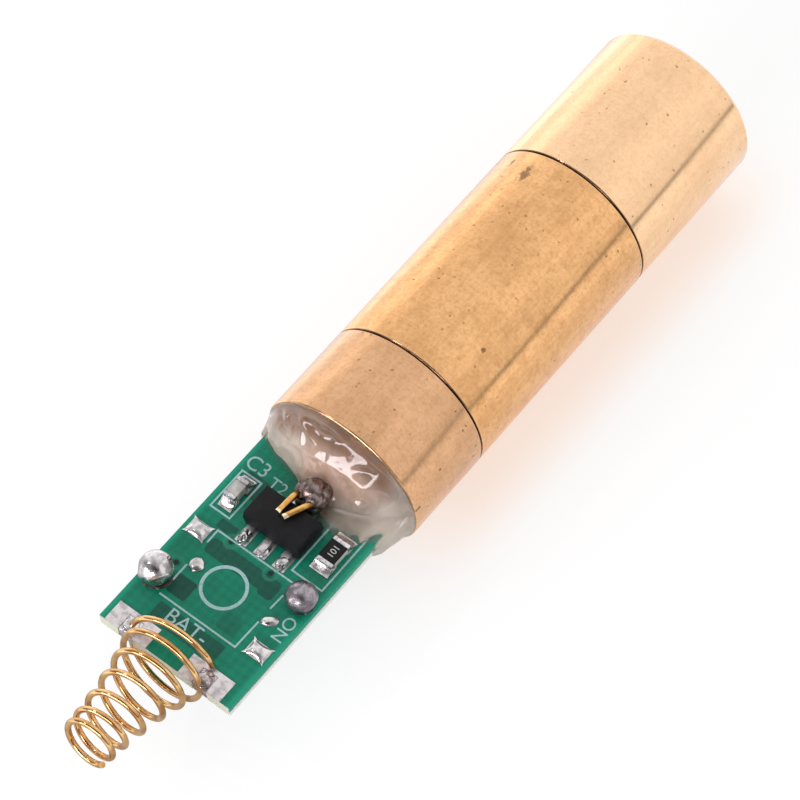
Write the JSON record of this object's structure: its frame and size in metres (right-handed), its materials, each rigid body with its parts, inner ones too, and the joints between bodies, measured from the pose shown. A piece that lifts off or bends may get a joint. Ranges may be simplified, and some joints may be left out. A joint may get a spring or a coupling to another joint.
{
  "type": "laser diode module",
  "caption": "Round brass laser diode module in turned sections, with an exposed green driver board glued behind the barrel and a conical battery contact spring.",
  "frame": {"origin": "centre of the barrel's front face, on the beam axis", "axes": "+X along the beam, out of the front face; +Z square to the driver board, on its component side; the barrel and spring run towards -X"},
  "size_m": [0.0607, 0.0121, 0.012],
  "materials": {
    "brass_front": "turned brass, pale, fine lathe marks",
    "brass_middle": "turned brass, tarnished, fine scratches",
    "brass_rear": "turned brass, specked",
    "brass_inner": "clean turned brass",
    "lens_glass": "polished and coated",
    "filter_glass": "blue-green heat filter glass",
    "crystal": "polished crystal",
    "seal_glass": "fused seal glass",
    "can_metal": "plated steel",
    "chip": "bare semiconductor",
    "lead_gold": "gold plate",
    "board_green": "green mask on glass-epoxy board",
    "pad_tin": "tinned copper",
    "solder_bright": "bright solder",
    "solder_dull": "dull grained solder",
    "package_black": "moulded epoxy",
    "ceramic_grey": "fired ceramic",
    "ceramic_white": "fired alumina",
    "resistor_black": "black glaze",
    "spring_gold": "gold-plated spring wire",
    "glue_clear": "clear hot-melt glue"
  },
  "bodies": {
    "root": {"front_barrel": "brass_front", "lens_cell": "brass_inner", "collimating_lens": "lens_glass", "ir_filter": "filter_glass", "middle_barrel": "brass_middle", "expander_lens": "lens_glass", "crystal_holder": "brass_inner", "laser_crystal": "crystal", "doubling_crystal": "crystal", "rear_barrel": "brass_rear", "diode_header": "can_metal", "lead_seals": "seal_glass", "laser_chip": "chip", "diode_cap": "can_metal", "diode_window": "lens_glass", "left_lead": "lead_gold", "right_lead": "lead_gold", "case_lead": "lead_gold", "circuit_board": "board_green", "tinned_pads": "pad_tin", "underside_pad": "pad_tin", "driver_transistor": "package_black", "transistor_leads": "pad_tin", "transistor_solder": "solder_bright", "chip_capacitor": "ceramic_grey", "capacitor_ends": "pad_tin", "capacitor_solder": "solder_bright", "chip_resistor": "ceramic_white", "resistor_coat": "resistor_black", "resistor_ends": "pad_tin", "resistor_solder": "solder_bright", "tall_solder_blob": "solder_bright", "round_solder_blob": "solder_dull", "solder_dots": "solder_bright", "lead_solder": "solder_dull", "case_lead_solder": "solder_bright", "contact_spring": "spring_gold", "spring_solder": "solder_bright", "potting_glue": "glue_clear"}
  },
  "joints": []
}
